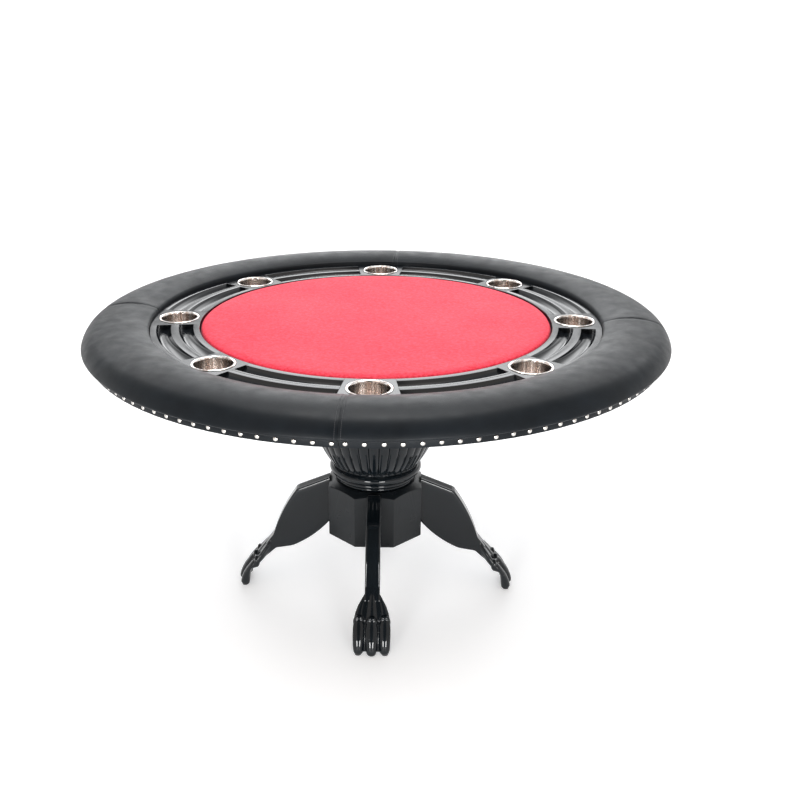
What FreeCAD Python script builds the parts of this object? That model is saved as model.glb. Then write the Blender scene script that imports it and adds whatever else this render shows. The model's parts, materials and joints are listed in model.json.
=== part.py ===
import FreeCAD, Part

# Round eight-seat card table on a carved pedestal, as separate sub-parts.
#
# Millimetres, +Z up. The origin is on the floor under the table's centre, and
# the front leg and the front cup point along -Y. Every driving dimension is a
# cell of the spreadsheet "Size"; sketches and features are bound to its cells.

import math
import os
import re

import Sketcher
from FreeCAD import Placement, Rotation, Vector

SIZES = {
    # Overall
    "table_height": 750,
    "rail_outer_radius": 698.5,
    "seats": 8,
    # Board under the whole top
    "subtop_top_z": 701,
    "subtop_thickness": 18,
    "subtop_radius": 680,
    "push_hole_radius": 25,
    "push_hole_circle": 330,
    # Deck of chip trays and cup plates
    "deck_top_z": 726.5,
    "deck_inner_radius": 424,
    "deck_outer_radius": 540.5,
    "plate_half_angle": 7.1,
    "seam_angle": 0.05,
    "outer_groove_radius": 508.2,
    "inner_groove_radius": 455.6,
    "groove_half_width": 17,
    "groove_curve": 17.7,
    # Lift-out cup holders
    "cup_circle": 480.6,
    "cup_bore_radius": 42.5,
    "cup_wall": 1,
    "cup_depth": 68,
    "cup_rim_radius": 49,
    "cup_rim_height": 2.2,
    "cup_rim_curve": 4.2,
    "cup_lip_width": 1.2,
    "cup_lip_curve": 2.6,
    "cup_corner": 3,
    "cup_rim_gap": 0.2,
    "plate_hole_radius": 44.5,
    "subtop_hole_radius": 45.5,
    # Lift-out playing surface
    "cloth_radius": 421,
    "cloth_top_z": 730,
    "cloth_thickness": 1.6,
    "cloth_edge_curve": 8,
    "cloth_hem": 26,
    "board_thickness": 18,
    # Rail: wooden core under four quarter pads
    "core_inner_radius": 550,
    "core_outer_radius": 676,
    "core_thickness": 25.5,
    "pad_inner_radius": 541,
    "pad_inner_z": 730,
    "inner_corner_curve": 9.3,
    "inner_crown_radius": 547,
    "inner_crown_z": 738.7,
    "crown_curve": 176,
    "pad_crest_radius": 609,
    "outer_crown_radius": 664,
    "outer_crown_z": 741.2,
    "outer_flank_curve": 52.6,
    "pad_outer_z": 704.5,
    "pad_tuck_radius": 694.5,
    "pad_tuck_curve": 4.2,
    "pad_gap": 0.3,
    "pad_seam_angle": 0.04,
    "pad_seam_offset": -4.3,
    "pads": 4,
    # Nailed trim band under the rail
    "band_radius": 684,
    "band_height": 17,
    "nails_per_pad": 30,
    "nail_seam_angle": 1.1,
    "nail_z": 691.5,
    "nail_head_radius": 4.75,
    "nail_head_height": 2.4,
    # Mounting board and braces under the top
    "mount_radius": 240,
    "mount_thickness": 25,
    "brace_start": 245,
    "brace_end": 600,
    "brace_width": 40,
    "brace_height": 30,
    "screw_radius": 2.5,
    "screw_head_radius": 4.5,
    "screw_head_height": 2.5,
    # Column
    "bore_radius": 8,
    "urn_bottom_z": 352,
    "urn_foot_radius": 108,
    "urn_bowl_curve": 300,
    "urn_belly_radius": 168,
    "urn_belly_z": 566,
    "urn_shoulder_curve": 62,
    "urn_neck_radius": 106,
    "urn_neck_z": 618,
    "urn_cove_curve": 22,
    "urn_cap_radius": 150,
    "urn_cap_z": 640,
    "urn_cap_curve": 16,
    "urn_cap_edge": 6,
    "low_bead_radius": 96.5,
    "low_bead_z": 316,
    "low_bead_curve": 5,
    "mid_bead_radius": 102.5,
    "mid_bead_z": 329,
    "mid_bead_curve": 7.5,
    "top_bead_radius": 109.5,
    "top_bead_curve": 13,
    # Octagonal hub
    "hub_apothem": 118,
    "hub_bottom_z": 163,
    "hub_top_z": 308,
    "hub_chamfer_radius": 104,
    "hub_chamfer_drop": 12,
    "hub_hollow_radius": 90,
    "hub_roof": 25,
    "cover_thickness": 8,
    "cover_inset": 2,
    "cover_gap": 0.4,
    # Legs, in the plane of radius and height
    "leg_width": 35,
    "leg_root_top_z": 308,
    "leg_root_bottom_z": 185,
    "knee_radius": 203,
    "knee_z": 273,
    "ankle_radius": 268,
    "ankle_z": 140,
    "shin_curve": 420,
    "knuckle_radius": 318,
    "knuckle_z": 77,
    "toe_radius": 360,
    "toe_z": 10,
    "toe_curve": 110,
    "sole_z": 3,
    "sole_outer_radius": 353,
    "sole_inner_radius": 337,
    "palm_radius": 334,
    "palm_z": 50,
    "heel_radius": 312,
    "heel_z": 53,
    "instep_outer_radius": 262,
    "instep_inner_radius": 219,
    "instep_outer_z": 101,
    "instep_inner_z": 108,
    "arch_curve": 260,
    "paw_width": 91,
    "paw_radius": 302,
    "toe_slot_radius": 346,
    "toe_slot_width": 5,
    "side_toe_setback": 7,
    "glide_radius": 8,
    "glide_circle": 345,
    # Fasteners
    "bolt_radius": 4,
    "bolt_clearance": 0.25,
    "bolt_head_radius": 7.5,
    "bolt_head_height": 5,
    "mount_bolt_circle": 200,
    "mount_bolt_count": 6,
    "rail_bolt_circle": 622,
    "rail_bolt_count": 12,
    "bolt_bite": 11,
    "rod_radius": 6,
    "nut_radius": 11,
    "nut_height": 10,
    "washer_radius": 18,
    "washer_thickness": 2.5,
    "leg_bolt_low_z": 206,
    "leg_bolt_high_z": 262,
    "leg_bolt_bite": 40,
    "leg_nut_radius": 7.5,
    "leg_nut_height": 6.5,
    "leg_washer_radius": 11,
    "leg_washer_thickness": 1.6,
    "leg_washer_setback": 0.8,
}

Z_AXIS = Vector(0, 0, 1)
LEG_AZIMUTHS = {"front": -90, "right": 0, "back": 90, "left": 180}
BRACE_AZIMUTHS = {"right": 22.5, "back": 112.5, "left": 202.5, "front": 292.5}
BRACE_SCREW_CIRCLES = ("brace_start + 40", "(brace_start + brace_end) / 2", "brace_end - 30")
PUSH_HOLE_AZIMUTHS = (67.5, 247.5)
FRONT = -90

doc = FreeCAD.newDocument("card_table")
sheet = doc.addObject("Spreadsheet::Sheet", "Size")
for row, (alias, value) in enumerate(SIZES.items(), start=1):
    sheet.set(f"A{row}", str(value))
    sheet.setAlias(f"A{row}", alias)
doc.recompute()

subparts = []


# ---------------------------------------------------------------- helpers

def bound(words):
    """The expression on the sheet for text such as "deck_top_z - 2"."""
    return re.sub(r"[a-z]\w*", lambda word: "Size." + word.group(), str(words))


def number(words):
    """The value, in mm or degrees, of an expression on the sheet."""
    return float(sheet.evalExpression(bound(words)))


def turned(azimuth):
    return Placement(Vector(), Rotation(Z_AXIS, azimuth))


def new_body(label, azimuth=0):
    body = doc.addObject("PartDesign::Body", label)
    body.Placement = turned(azimuth)
    subparts.append(body)
    return body


def new_sketch(body, role, level="0"):
    """A sketch on one of the body's own origin planes, raised by level."""
    plane = next(item for item in body.Origin.OriginFeatures if item.Role == role)
    sketch = body.newObject("Sketcher::SketchObject", f"{body.Label}_sketch")
    sketch.AttachmentSupport = (plane, "")
    sketch.MapMode = "FlatFace"
    sketch.setExpression("AttachmentOffset.Base.z", bound(level))
    doc.recompute()
    return sketch


def bind_point(sketch, geometry, vertex, across, up):
    """Hold one vertex at two bound distances from the sketch's origin."""
    for kind, words in (("DistanceX", across), ("DistanceY", up)):
        rule = Sketcher.Constraint(kind, -1, 1, geometry, vertex, number(words))
        index = sketch.addConstraint(rule)
        sketch.setExpression(f"Constraints[{index}]", bound(words))


def arc_between(start, end, radius):
    """An arc from start to end: left-hand turn if radius > 0, right-hand if < 0."""
    half = (end - start) * 0.5
    reach = math.sqrt(max(radius * radius - half.Length ** 2, 0))
    normal = Vector(-half.y, half.x, 0).normalize()
    centre = start + half + normal * math.copysign(reach, radius)
    first, last = (start, end) if radius > 0 else (end, start)
    angles = [math.atan2(p.y - centre.y, p.x - centre.x) for p in (first, last)]
    circle = Part.Circle(centre, Z_AXIS, abs(radius))
    return Part.ArcOfCircle(circle, *angles)


def add_outline(sketch, corners):
    """A closed outline. A corner is (across, up) or (across, up, radius of the
    arc that leaves it), each an expression on the sheet's cells."""
    places = [Vector(number(c[0]), number(c[1]), 0) for c in corners]
    ends = []
    for index, corner in enumerate(corners):
        start = places[index]
        end = places[(index + 1) % len(corners)]
        if len(corner) == 2:
            geometry = sketch.addGeometry(Part.LineSegment(start, end), False)
            ends.append((geometry, 1, 2))
            continue
        radius = number(corner[2])
        geometry = sketch.addGeometry(arc_between(start, end, radius), False)
        ends.append((geometry, 1, 2) if radius > 0 else (geometry, 2, 1))
    for index, (geometry, _, last) in enumerate(ends):
        following, first, _ = ends[(index + 1) % len(ends)]
        join = Sketcher.Constraint("Coincident", geometry, last, following, first)
        sketch.addConstraint(join)
    for (geometry, first, _), corner in zip(ends, corners):
        bind_point(sketch, geometry, first, corner[0], corner[1])
        if len(corner) == 3:
            size = corner[2].lstrip("-")
            rule = Sketcher.Constraint("Radius", geometry, number(size))
            index = sketch.addConstraint(rule)
            sketch.setExpression(f"Constraints[{index}]", bound(size))


def add_circle(sketch, across, up, radius):
    centre = Vector(number(across), number(up), 0)
    circle = Part.Circle(centre, Z_AXIS, number(radius))
    geometry = sketch.addGeometry(circle, False)
    bind_point(sketch, geometry, 3, across, up)
    index = sketch.addConstraint(Sketcher.Constraint("Radius", geometry, number(radius)))
    sketch.setExpression(f"Constraints[{index}]", bound(radius))


def finish_feature(body, feature):
    """Make a feature the body's tip and return the body's new volume."""
    body.Tip = feature
    doc.recompute()
    return body.Shape.Volume


def revolve(body, corners, angle="360"):
    """Turn an outline of (radius, height) about Z, centred on the XZ plane."""
    sketch = new_sketch(body, "XZ_Plane")
    add_outline(sketch, corners)
    feature = body.newObject("PartDesign::Revolution", f"{body.Label}_revolution")
    feature.Profile = sketch
    feature.ReferenceAxis = (sketch, ["V_Axis"])
    feature.Midplane = number(angle) < 360
    feature.setExpression("Angle", bound(angle))
    finish_feature(body, feature)
    return feature


def pad(body, sketch, length, midplane=False):
    feature = body.newObject("PartDesign::Pad", f"{body.Label}_pad")
    feature.Profile = sketch
    feature.Midplane = midplane
    feature.setExpression("Length", bound(length))
    finish_feature(body, feature)


def cut(body, feature, count="1"):
    """Finish a cutting feature, repeated count times around Z, and prove it cuts."""
    before = body.Shape.Volume
    if number(count) > 1:
        doc.recompute()
        pattern = body.newObject("PartDesign::PolarPattern", f"{body.Label}_pattern")
        pattern.Originals = [feature]
        pattern.Axis = (feature.Profile[0], ["N_Axis"])
        pattern.setExpression("Occurrences", bound(count))
        feature = pattern
    if finish_feature(body, feature) >= before - 1:
        raise RuntimeError(f"{body.Label}: {feature.Name} cuts nothing")


def drill(body, top, depth, radius, circle="0", azimuth=0, count="1"):
    """Round holes down from a level, on a bolt circle around Z."""
    sketch = new_sketch(body, "XY_Plane", top)
    across = f"({circle}) * {math.cos(math.radians(azimuth)):.12f}"
    up = f"({circle}) * {math.sin(math.radians(azimuth)):.12f}"
    add_circle(sketch, across, up, radius)
    pocket = body.newObject("PartDesign::Pocket", f"{body.Label}_hole")
    pocket.Profile = sketch
    pocket.setExpression("Length", bound(depth))
    cut(body, pocket, count)


def fastener_group(label, solid, places):
    """Copies of one fastener's solid, as separate solids of one sub-part."""
    group = doc.addObject("Part::Feature", label)
    copies = [solid.transformed(place.toMatrix(), True) for place in places]
    group.Shape = Part.makeCompound(copies)
    subparts.append(group)


def around(circle, level, azimuths):
    """Upright places on a circle, one per azimuth."""
    step_out = Placement(Vector(number(circle), 0, number(level)), Rotation())
    return [turned(azimuth).multiply(step_out) for azimuth in azimuths]


def every(count, start=0.0):
    total = round(number(count))
    return [start + 360 * index / total for index in range(total)]


def headed_bolt(head_radius, head_height, shank_radius, shank_length):
    """A bolt that points up, its head below z = 0."""
    down = Vector(0, 0, -1)
    head = Part.makeCylinder(number(head_radius), number(head_height), Vector(), down)
    rim = [edge for edge in head.Edges if edge.BoundBox.ZMax < -0.1
           and edge.Curve.TypeId == "Part::GeomCircle"]
    head = head.makeFillet(number(head_height) * 0.4, rim)
    shank = Part.makeCylinder(number(shank_radius), number(shank_length))
    return head.fuse(shank).removeSplitter()


# ---------------------------------------------------------------- the top

def make_subtop():
    """The round board that carries everything, drilled for cups and bolts."""
    body = new_body("subtop_disc")
    sketch = new_sketch(body, "XY_Plane", "subtop_top_z - subtop_thickness")
    add_circle(sketch, "0", "0", "subtop_radius")
    pad(body, sketch, "subtop_thickness")
    through = ("subtop_top_z", "subtop_thickness")
    drill(body, *through, "subtop_hole_radius", "cup_circle", 0, "seats")
    for azimuth in PUSH_HOLE_AZIMUTHS:
        drill(body, *through, "push_hole_radius", "push_hole_circle", azimuth)
    clearance = "bolt_radius + bolt_clearance"
    drill(body, *through, clearance, "rail_bolt_circle", 11, "rail_bolt_count")
    blind_top = "subtop_top_z - subtop_thickness + bolt_bite + 1"
    drill(body, blind_top, "bolt_bite + 1", clearance, "mount_bolt_circle", 0,
          "mount_bolt_count")
    for circle in BRACE_SCREW_CIRCLES:
        drill(body, blind_top, "bolt_bite + 1", "screw_radius + bolt_clearance", circle,
              BRACE_AZIMUTHS["right"], "4")


def make_chip_tray(index, azimuth):
    """A deck segment with two round-bottomed rows for chips."""
    body = new_body(f"chip_tray_{index}", azimuth)
    outline = [
        ("deck_inner_radius", "subtop_top_z"),
        ("deck_outer_radius", "subtop_top_z"),
        ("deck_outer_radius", "deck_top_z"),
        ("outer_groove_radius + groove_half_width", "deck_top_z", "-groove_curve"),
        ("outer_groove_radius - groove_half_width", "deck_top_z"),
        ("inner_groove_radius + groove_half_width", "deck_top_z", "-groove_curve"),
        ("inner_groove_radius - groove_half_width", "deck_top_z"),
        ("deck_inner_radius", "deck_top_z"),
    ]
    revolve(body, outline, "360 / seats - 2 * (plate_half_angle + seam_angle)")


def make_cup_plate(index, azimuth):
    """The wedge between two trays, bored for its cup."""
    body = new_body(f"cup_plate_{index}", azimuth)
    outline = [
        ("deck_inner_radius", "subtop_top_z"),
        ("deck_outer_radius", "subtop_top_z"),
        ("deck_outer_radius", "deck_top_z"),
        ("deck_inner_radius", "deck_top_z"),
    ]
    revolve(body, outline, "2 * plate_half_angle")
    drill(body, "deck_top_z", "deck_top_z - subtop_top_z", "plate_hole_radius",
          "cup_circle")


def make_cup_holder(index, azimuth):
    """A spun steel cup whose domed rim lies on the deck."""
    body = new_body(f"cup_holder_{index}")
    rim_z = "deck_top_z + cup_rim_gap"
    outer = "cup_bore_radius + cup_wall"
    base_z = "deck_top_z - cup_depth"
    outline = [
        ("0", base_z),
        (f"{outer} - cup_corner", base_z, "cup_corner"),
        (outer, f"{base_z} + cup_corner"),
        (outer, rim_z),
        ("cup_rim_radius", rim_z, "cup_rim_curve"),
        ("cup_rim_radius - cup_rim_height", f"{rim_z} + cup_rim_height"),
        (f"{outer} + cup_lip_width", f"{rim_z} + cup_rim_height", "cup_lip_curve"),
        ("cup_bore_radius", rim_z),
        ("cup_bore_radius", f"{base_z} + cup_corner", "-(cup_corner - cup_wall)"),
        (f"{outer} - cup_corner", f"{base_z} + cup_wall"),
        ("0", f"{base_z} + cup_wall"),
    ]
    revolve(body, outline)
    body.Placement = around("cup_circle", "0", [azimuth])[0]


def make_playing_surface():
    """The lift-out playing surface: board, foam and the cloth pulled over them."""
    lower = "subtop_top_z + cloth_thickness"
    inner = "cloth_radius - cloth_thickness"
    board = new_body("playing_board")
    board_top = f"{lower} + board_thickness"
    revolve(board, [("0", lower), (inner, lower), (inner, board_top), ("0", board_top)])

    foam = new_body("foam_pad")
    foam_top = "cloth_top_z - cloth_thickness"
    bend = "cloth_edge_curve - cloth_thickness"
    revolve(foam, [
        ("0", board_top),
        (inner, board_top),
        (inner, f"{foam_top} - ({bend})", bend),
        (f"{inner} - ({bend})", foam_top),
        ("0", foam_top),
    ])

    cloth = new_body("playing_cloth")
    revolve(cloth, [
        ("cloth_radius - cloth_hem", "subtop_top_z"),
        ("cloth_radius", "subtop_top_z"),
        ("cloth_radius", "cloth_top_z - cloth_edge_curve", "cloth_edge_curve"),
        ("cloth_radius - cloth_edge_curve", "cloth_top_z"),
        ("0", "cloth_top_z"),
        ("0", foam_top),
        (f"{inner} - ({bend})", foam_top, f"-({bend})"),
        (inner, f"{foam_top} - ({bend})"),
        (inner, lower),
        ("cloth_radius - cloth_hem", lower),
    ])


def pad_seams():
    """The azimuths of the seams between the rail's padded quarters."""
    return every("pads", FRONT + number("pad_seam_offset"))


def make_rail():
    """The wooden rail ring and the four padded quarters wrapped over it."""
    core = new_body("rail_core")
    core_top = "subtop_top_z + core_thickness"
    revolve(core, [
        ("core_inner_radius", "subtop_top_z"),
        ("core_outer_radius", "subtop_top_z"),
        ("core_outer_radius", core_top),
        ("core_inner_radius", core_top),
    ])
    drill(core, "subtop_top_z + bolt_bite + 1", "bolt_bite + 1",
          "bolt_radius + bolt_clearance", "rail_bolt_circle", 11, "rail_bolt_count")

    section = [
        ("pad_inner_radius", "subtop_top_z"),
        ("core_inner_radius - pad_gap", "subtop_top_z"),
        ("core_inner_radius - pad_gap", f"{core_top} + pad_gap"),
        ("core_outer_radius + pad_gap", f"{core_top} + pad_gap"),
        ("core_outer_radius + pad_gap", "subtop_top_z"),
        ("pad_tuck_radius", "subtop_top_z", "pad_tuck_curve"),
        ("rail_outer_radius", "pad_outer_z", "outer_flank_curve"),
        ("outer_crown_radius", "outer_crown_z", "crown_curve"),
        ("pad_crest_radius", "table_height", "crown_curve"),
        ("inner_crown_radius", "inner_crown_z", "inner_corner_curve"),
        ("pad_inner_radius", "pad_inner_z"),
    ]
    for index, seam in enumerate(pad_seams(), start=1):
        body = new_body(f"rail_pad_{index}", seam + 180 / number("pads"))
        revolve(body, section, "360 / pads - 2 * pad_seam_angle")


def make_trim_band():
    """The strip under the rail and its dome-headed nails."""
    band = new_body("trim_band")
    low = "subtop_top_z - subtop_thickness"
    inner = "subtop_radius + pad_gap"
    revolve(band, [
        (inner, low),
        ("band_radius", low),
        ("band_radius", f"{low} + band_height"),
        (inner, f"{low} + band_height"),
    ])
    gap = number("nail_seam_angle")
    pitch = (360 / number("pads") - 2 * gap) / (number("nails_per_pad") - 1)
    spots = [seam + gap + pitch * nail for seam in pad_seams()
             for nail in range(round(number("nails_per_pad")))]
    radius = number("nail_head_radius")
    height = number("nail_head_height")
    sphere_radius = (radius ** 2 + height ** 2) / (2 * height)
    ball = Part.makeSphere(sphere_radius, Vector(0, 0, height - sphere_radius))
    dome = ball.common(Part.makeCylinder(radius * 2, height * 2))
    outwards = Placement(Vector(), Rotation(Vector(0, 1, 0), 90))
    places = [place.multiply(outwards) for place in around("band_radius", "nail_z", spots)]
    fastener_group("nail_heads", dome, places)


# ------------------------------------------------- mounting under the top

def make_mount():
    """The board on top of the column, its braces and their bolts."""
    low = "subtop_top_z - subtop_thickness"
    clearance = "bolt_radius + bolt_clearance"
    screw_hole = "screw_radius + bolt_clearance"
    board = new_body("mount_board")
    sketch = new_sketch(board, "XY_Plane", f"{low} - mount_thickness")
    add_circle(sketch, "0", "0", "mount_radius")
    pad(board, sketch, "mount_thickness")
    drill(board, low, "mount_thickness", "bore_radius")
    drill(board, low, "nut_height + washer_thickness + 3", "washer_radius + 1")
    drill(board, low, "mount_thickness", clearance, "mount_bolt_circle", 0,
          "mount_bolt_count")

    for name, azimuth in BRACE_AZIMUTHS.items():
        brace = new_body(f"brace_{name}", azimuth)
        sketch = new_sketch(brace, "XY_Plane", f"{low} - brace_height")
        add_outline(sketch, [
            ("brace_start", "-brace_width / 2"),
            ("brace_end", "-brace_width / 2"),
            ("brace_end", "brace_width / 2"),
            ("brace_start", "brace_width / 2"),
        ])
        pad(brace, sketch, "brace_height")
        for circle in BRACE_SCREW_CIRCLES:
            drill(brace, low, "brace_height", screw_hole, circle)

    bolt = headed_bolt("bolt_head_radius", "bolt_head_height", "bolt_radius",
                       "mount_thickness + bolt_bite")
    fastener_group("mount_bolts", bolt, around(
        "mount_bolt_circle", f"{low} - mount_thickness", every("mount_bolt_count")))
    bolt = headed_bolt("bolt_head_radius", "bolt_head_height", "bolt_radius",
                       "subtop_thickness + bolt_bite")
    fastener_group("rail_bolts", bolt, around(
        "rail_bolt_circle", low, every("rail_bolt_count", 11)))
    screw = headed_bolt("screw_head_radius", "screw_head_height", "screw_radius",
                        "brace_height + bolt_bite")
    places = [place for circle in BRACE_SCREW_CIRCLES
              for place in around(circle, f"{low} - brace_height", BRACE_AZIMUTHS.values())]
    fastener_group("brace_screws", screw, places)


# ------------------------------------------------------------- the column

def make_urn():
    """The turned urn: foot, bowl, shoulder, neck and cap."""
    body = new_body("urn_column")
    top_z = "subtop_top_z - subtop_thickness - mount_thickness"
    revolve(body, [
        ("bore_radius", "urn_bottom_z"),
        ("urn_foot_radius", "urn_bottom_z", "urn_bowl_curve"),
        ("urn_belly_radius", "urn_belly_z", "urn_shoulder_curve"),
        ("urn_neck_radius", "urn_neck_z", "-urn_cove_curve"),
        ("urn_cap_radius - urn_cap_curve", "urn_cap_z", "urn_cap_curve"),
        ("urn_cap_radius", f"{top_z} - urn_cap_edge"),
        ("urn_cap_radius", top_z),
        ("bore_radius", top_z),
    ])


def make_collar():
    """Three stacked beads between the urn and the hub."""
    body = new_body("ring_collar")
    revolve(body, [
        ("bore_radius", "hub_top_z"),
        ("low_bead_radius", "hub_top_z", "low_bead_curve"),
        ("low_bead_radius", "low_bead_z"),
        ("mid_bead_radius", "low_bead_z", "mid_bead_curve"),
        ("mid_bead_radius", "mid_bead_z"),
        ("top_bead_radius", "mid_bead_z", "top_bead_curve"),
        ("top_bead_radius", "urn_bottom_z"),
        ("bore_radius", "urn_bottom_z"),
    ])


def make_hub():
    """The octagonal block that holds the legs, hollow below, with its cover."""
    body = new_body("octagon_hub")
    sketch = new_sketch(body, "XY_Plane", "hub_bottom_z")
    half_side = f"hub_apothem * {math.tan(math.pi / 8):.12f}"
    corners = []
    for across, up in ((1, 0), (0, 1), (-1, 0), (0, -1)):
        for side in (-1, 1):
            x_part = f"{across} * hub_apothem - {up * side} * {half_side}"
            y_part = f"{up} * hub_apothem + {across * side} * {half_side}"
            corners.append((x_part, y_part))
    add_outline(sketch, corners)
    pad(body, sketch, "hub_top_z - hub_bottom_z")

    rim = new_sketch(body, "XZ_Plane")
    add_outline(rim, [
        ("hub_chamfer_radius", "hub_top_z"),
        ("hub_apothem * 1.2", "hub_top_z - hub_chamfer_drop * 1.5"),
        ("hub_apothem * 1.2", "hub_top_z + 1"),
        ("hub_chamfer_radius", "hub_top_z + 1"),
    ])
    groove = body.newObject("PartDesign::Groove", "octagon_hub_chamfer")
    groove.Profile = rim
    groove.ReferenceAxis = (rim, ["V_Axis"])
    groove.Angle = 360
    cut(body, groove)
    hollow = "hub_top_z - hub_roof - hub_bottom_z"
    drill(body, "hub_top_z - hub_roof", hollow, "hub_hollow_radius")
    drill(body, "hub_top_z", "hub_roof", "bore_radius")
    for azimuth in LEG_AZIMUTHS.values():
        drill_sideways(body, azimuth, "hub_apothem + 1", "hub_apothem - hub_hollow_radius + 8")

    cover = new_body("hub_bottom_cover")
    low = "hub_bottom_z + cover_inset"
    sketch = new_sketch(cover, "XY_Plane", low)
    add_circle(sketch, "0", "0", "hub_hollow_radius - cover_gap")
    pad(cover, sketch, "cover_thickness")


def drill_sideways(body, azimuth, outer, depth):
    """Two bolt holes, one above the other, inwards from a radius."""
    sketch = new_sketch(body, "YZ_Plane")
    turn = Rotation(Z_AXIS, azimuth)
    upright = sketch.Placement.Rotation
    sketch.MapMode = "Deactivated"
    sketch.Placement = Placement(turn.multVec(Vector(number(outer), 0, 0)),
                                 turn.multiply(upright))
    for level in ("leg_bolt_low_z", "leg_bolt_high_z"):
        add_circle(sketch, "0", level, "bolt_radius + bolt_clearance")
    pocket = body.newObject("PartDesign::Pocket", f"{body.Label}_bolt_holes")
    pocket.Profile = sketch
    pocket.setExpression("Length", bound(depth))
    cut(body, pocket)


def make_tie_rod():
    """The rod through the column, with a washer and a nut at each end."""
    low_face = number("hub_top_z - hub_roof")
    high_face = number("subtop_top_z - subtop_thickness - nut_height - washer_thickness - 3")
    spare = number("nut_height + washer_thickness + 2")
    rod = doc.addObject("Part::Cylinder", "tie_rod")
    rod.setExpression("Radius", bound("rod_radius"))
    rod.setExpression("Height", bound(
        "subtop_top_z - subtop_thickness - 2 - hub_top_z + hub_roof"
        " + nut_height + washer_thickness + 2"))
    rod.Placement = Placement(Vector(0, 0, low_face - spare), Rotation())
    subparts.append(rod)

    bore = number("rod_radius") + 0.1
    washer = flat_washer(number("washer_radius"), number("washer_thickness"), bore)
    nut = hex_nut(number("nut_radius"), number("nut_height"), bore)
    group = doc.addObject("Part::Feature", "tie_rod_nuts")
    stack = []
    for solid, level in (
        (washer, high_face),
        (nut, high_face + number("washer_thickness")),
        (washer, low_face - number("washer_thickness")),
        (nut, low_face - number("washer_thickness") - number("nut_height")),
    ):
        stack.append(solid.translated(Vector(0, 0, level)))
    group.Shape = Part.makeCompound(stack)
    subparts.append(group)


# --------------------------------------------------------------- the legs

def make_leg(name, azimuth):
    """A sawn leg: knee, ankle and a three-toed paw."""
    body = new_body(f"leg_{name}", azimuth)
    side = new_sketch(body, "XZ_Plane")
    add_outline(side, [
        ("hub_apothem", "leg_root_bottom_z", "arch_curve"),
        ("instep_inner_radius", "instep_inner_z"),
        ("instep_outer_radius", "instep_outer_z"),
        ("heel_radius", "heel_z"),
        ("palm_radius", "palm_z"),
        ("sole_inner_radius", "sole_z"),
        ("sole_outer_radius", "sole_z"),
        ("toe_radius", "toe_z", "toe_curve"),
        ("knuckle_radius", "knuckle_z"),
        ("ankle_radius", "ankle_z", "-shin_curve"),
        ("knee_radius", "knee_z"),
        ("hub_apothem", "leg_root_top_z"),
    ])
    pad(body, side, "paw_width", midplane=True)

    plan = new_sketch(body, "XY_Plane", "leg_root_top_z")
    for sign in ("", "-"):
        bar = f"{sign}leg_width / 2"
        edge = f"{sign}paw_width / 2"
        beyond = f"{sign}(paw_width / 2 + 5)"
        add_outline(plan, [
            ("hub_apothem - 1", bar),
            ("ankle_radius", bar),
            ("paw_radius", edge),
            ("paw_radius", beyond),
            ("hub_apothem - 1", beyond),
        ])
        pitch = f"{sign}(paw_width + toe_slot_width) / 6"
        width = f"{sign}toe_slot_width / 2"
        setback = "toe_radius - side_toe_setback"
        add_outline(plan, [
            ("toe_slot_radius", f"{pitch} - {width}"),
            ("toe_radius + 5", f"{pitch} - {width}"),
            ("toe_radius + 5", beyond),
            (setback, beyond),
            (setback, f"{pitch} + {width}"),
            ("toe_slot_radius", f"{pitch} + {width}"),
        ])
    pocket = body.newObject("PartDesign::Pocket", f"{body.Label}_plan")
    pocket.Profile = plan
    pocket.setExpression("Length", bound("leg_root_top_z"))
    cut(body, pocket)

    inner = new_sketch(body, "YZ_Plane", "hub_apothem")
    for level in ("leg_bolt_low_z", "leg_bolt_high_z"):
        add_circle(inner, "0", level, "bolt_radius + bolt_clearance")
    holes = body.newObject("PartDesign::Pocket", f"{body.Label}_bolt_holes")
    holes.Profile = inner
    holes.Reversed = True
    holes.setExpression("Length", bound("leg_bolt_bite + 1"))
    cut(body, holes)


def hex_nut(across_corners, height, bore):
    """A plain hexagonal nut along +Z from z = 0."""
    corner = Vector(across_corners, 0, 0)
    corners = [Rotation(Z_AXIS, 60 * turn).multVec(corner) for turn in range(7)]
    block = Part.Face(Part.makePolygon(corners)).extrude(Vector(0, 0, height))
    return block.cut(Part.makeCylinder(bore, height))


def flat_washer(radius, thickness, bore):
    return Part.makeCylinder(radius, thickness).cut(Part.makeCylinder(bore, thickness))


def make_leg_fasteners():
    """Two hanger bolts a leg, with washers and nuts inside the hub, and glides."""
    washer_face = number("hub_hollow_radius - leg_washer_setback - leg_washer_thickness")
    nut_face = washer_face - number("leg_nut_height")
    thread_end = nut_face - 4
    bore = number("bolt_radius") + 0.1
    rod = Part.makeCylinder(number("bolt_radius"),
                            number("hub_apothem + leg_bolt_bite") - thread_end)
    washer = flat_washer(number("leg_washer_radius"), number("leg_washer_thickness"), bore)
    nut = hex_nut(number("leg_nut_radius"), number("leg_nut_height"), bore)
    outwards = Rotation(Vector(0, 1, 0), 90)

    def side_places(distance):
        return [turned(azimuth).multiply(Placement(Vector(distance, 0, number(level)), outwards))
                for azimuth in LEG_AZIMUTHS.values()
                for level in ("leg_bolt_low_z", "leg_bolt_high_z")]

    fastener_group("leg_bolts", rod, side_places(thread_end))
    fastener_group("leg_bolt_washers", washer, side_places(washer_face))
    fastener_group("leg_bolt_nuts", nut, side_places(nut_face))

    glide = Part.makeCylinder(number("glide_radius"), number("sole_z"))
    lower = [edge for edge in glide.Edges if edge.BoundBox.ZMax < 0.1]
    glide = glide.makeFillet(1.0, lower)
    pitch = number("(paw_width + toe_slot_width) / 3")
    places = []
    for azimuth in LEG_AZIMUTHS.values():
        for shift in (-pitch, 0, pitch):
            step = Placement(Vector(number("glide_circle"), shift, 0), Rotation())
            places.append(turned(azimuth).multiply(step))
    fastener_group("foot_glides", glide, places)


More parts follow.
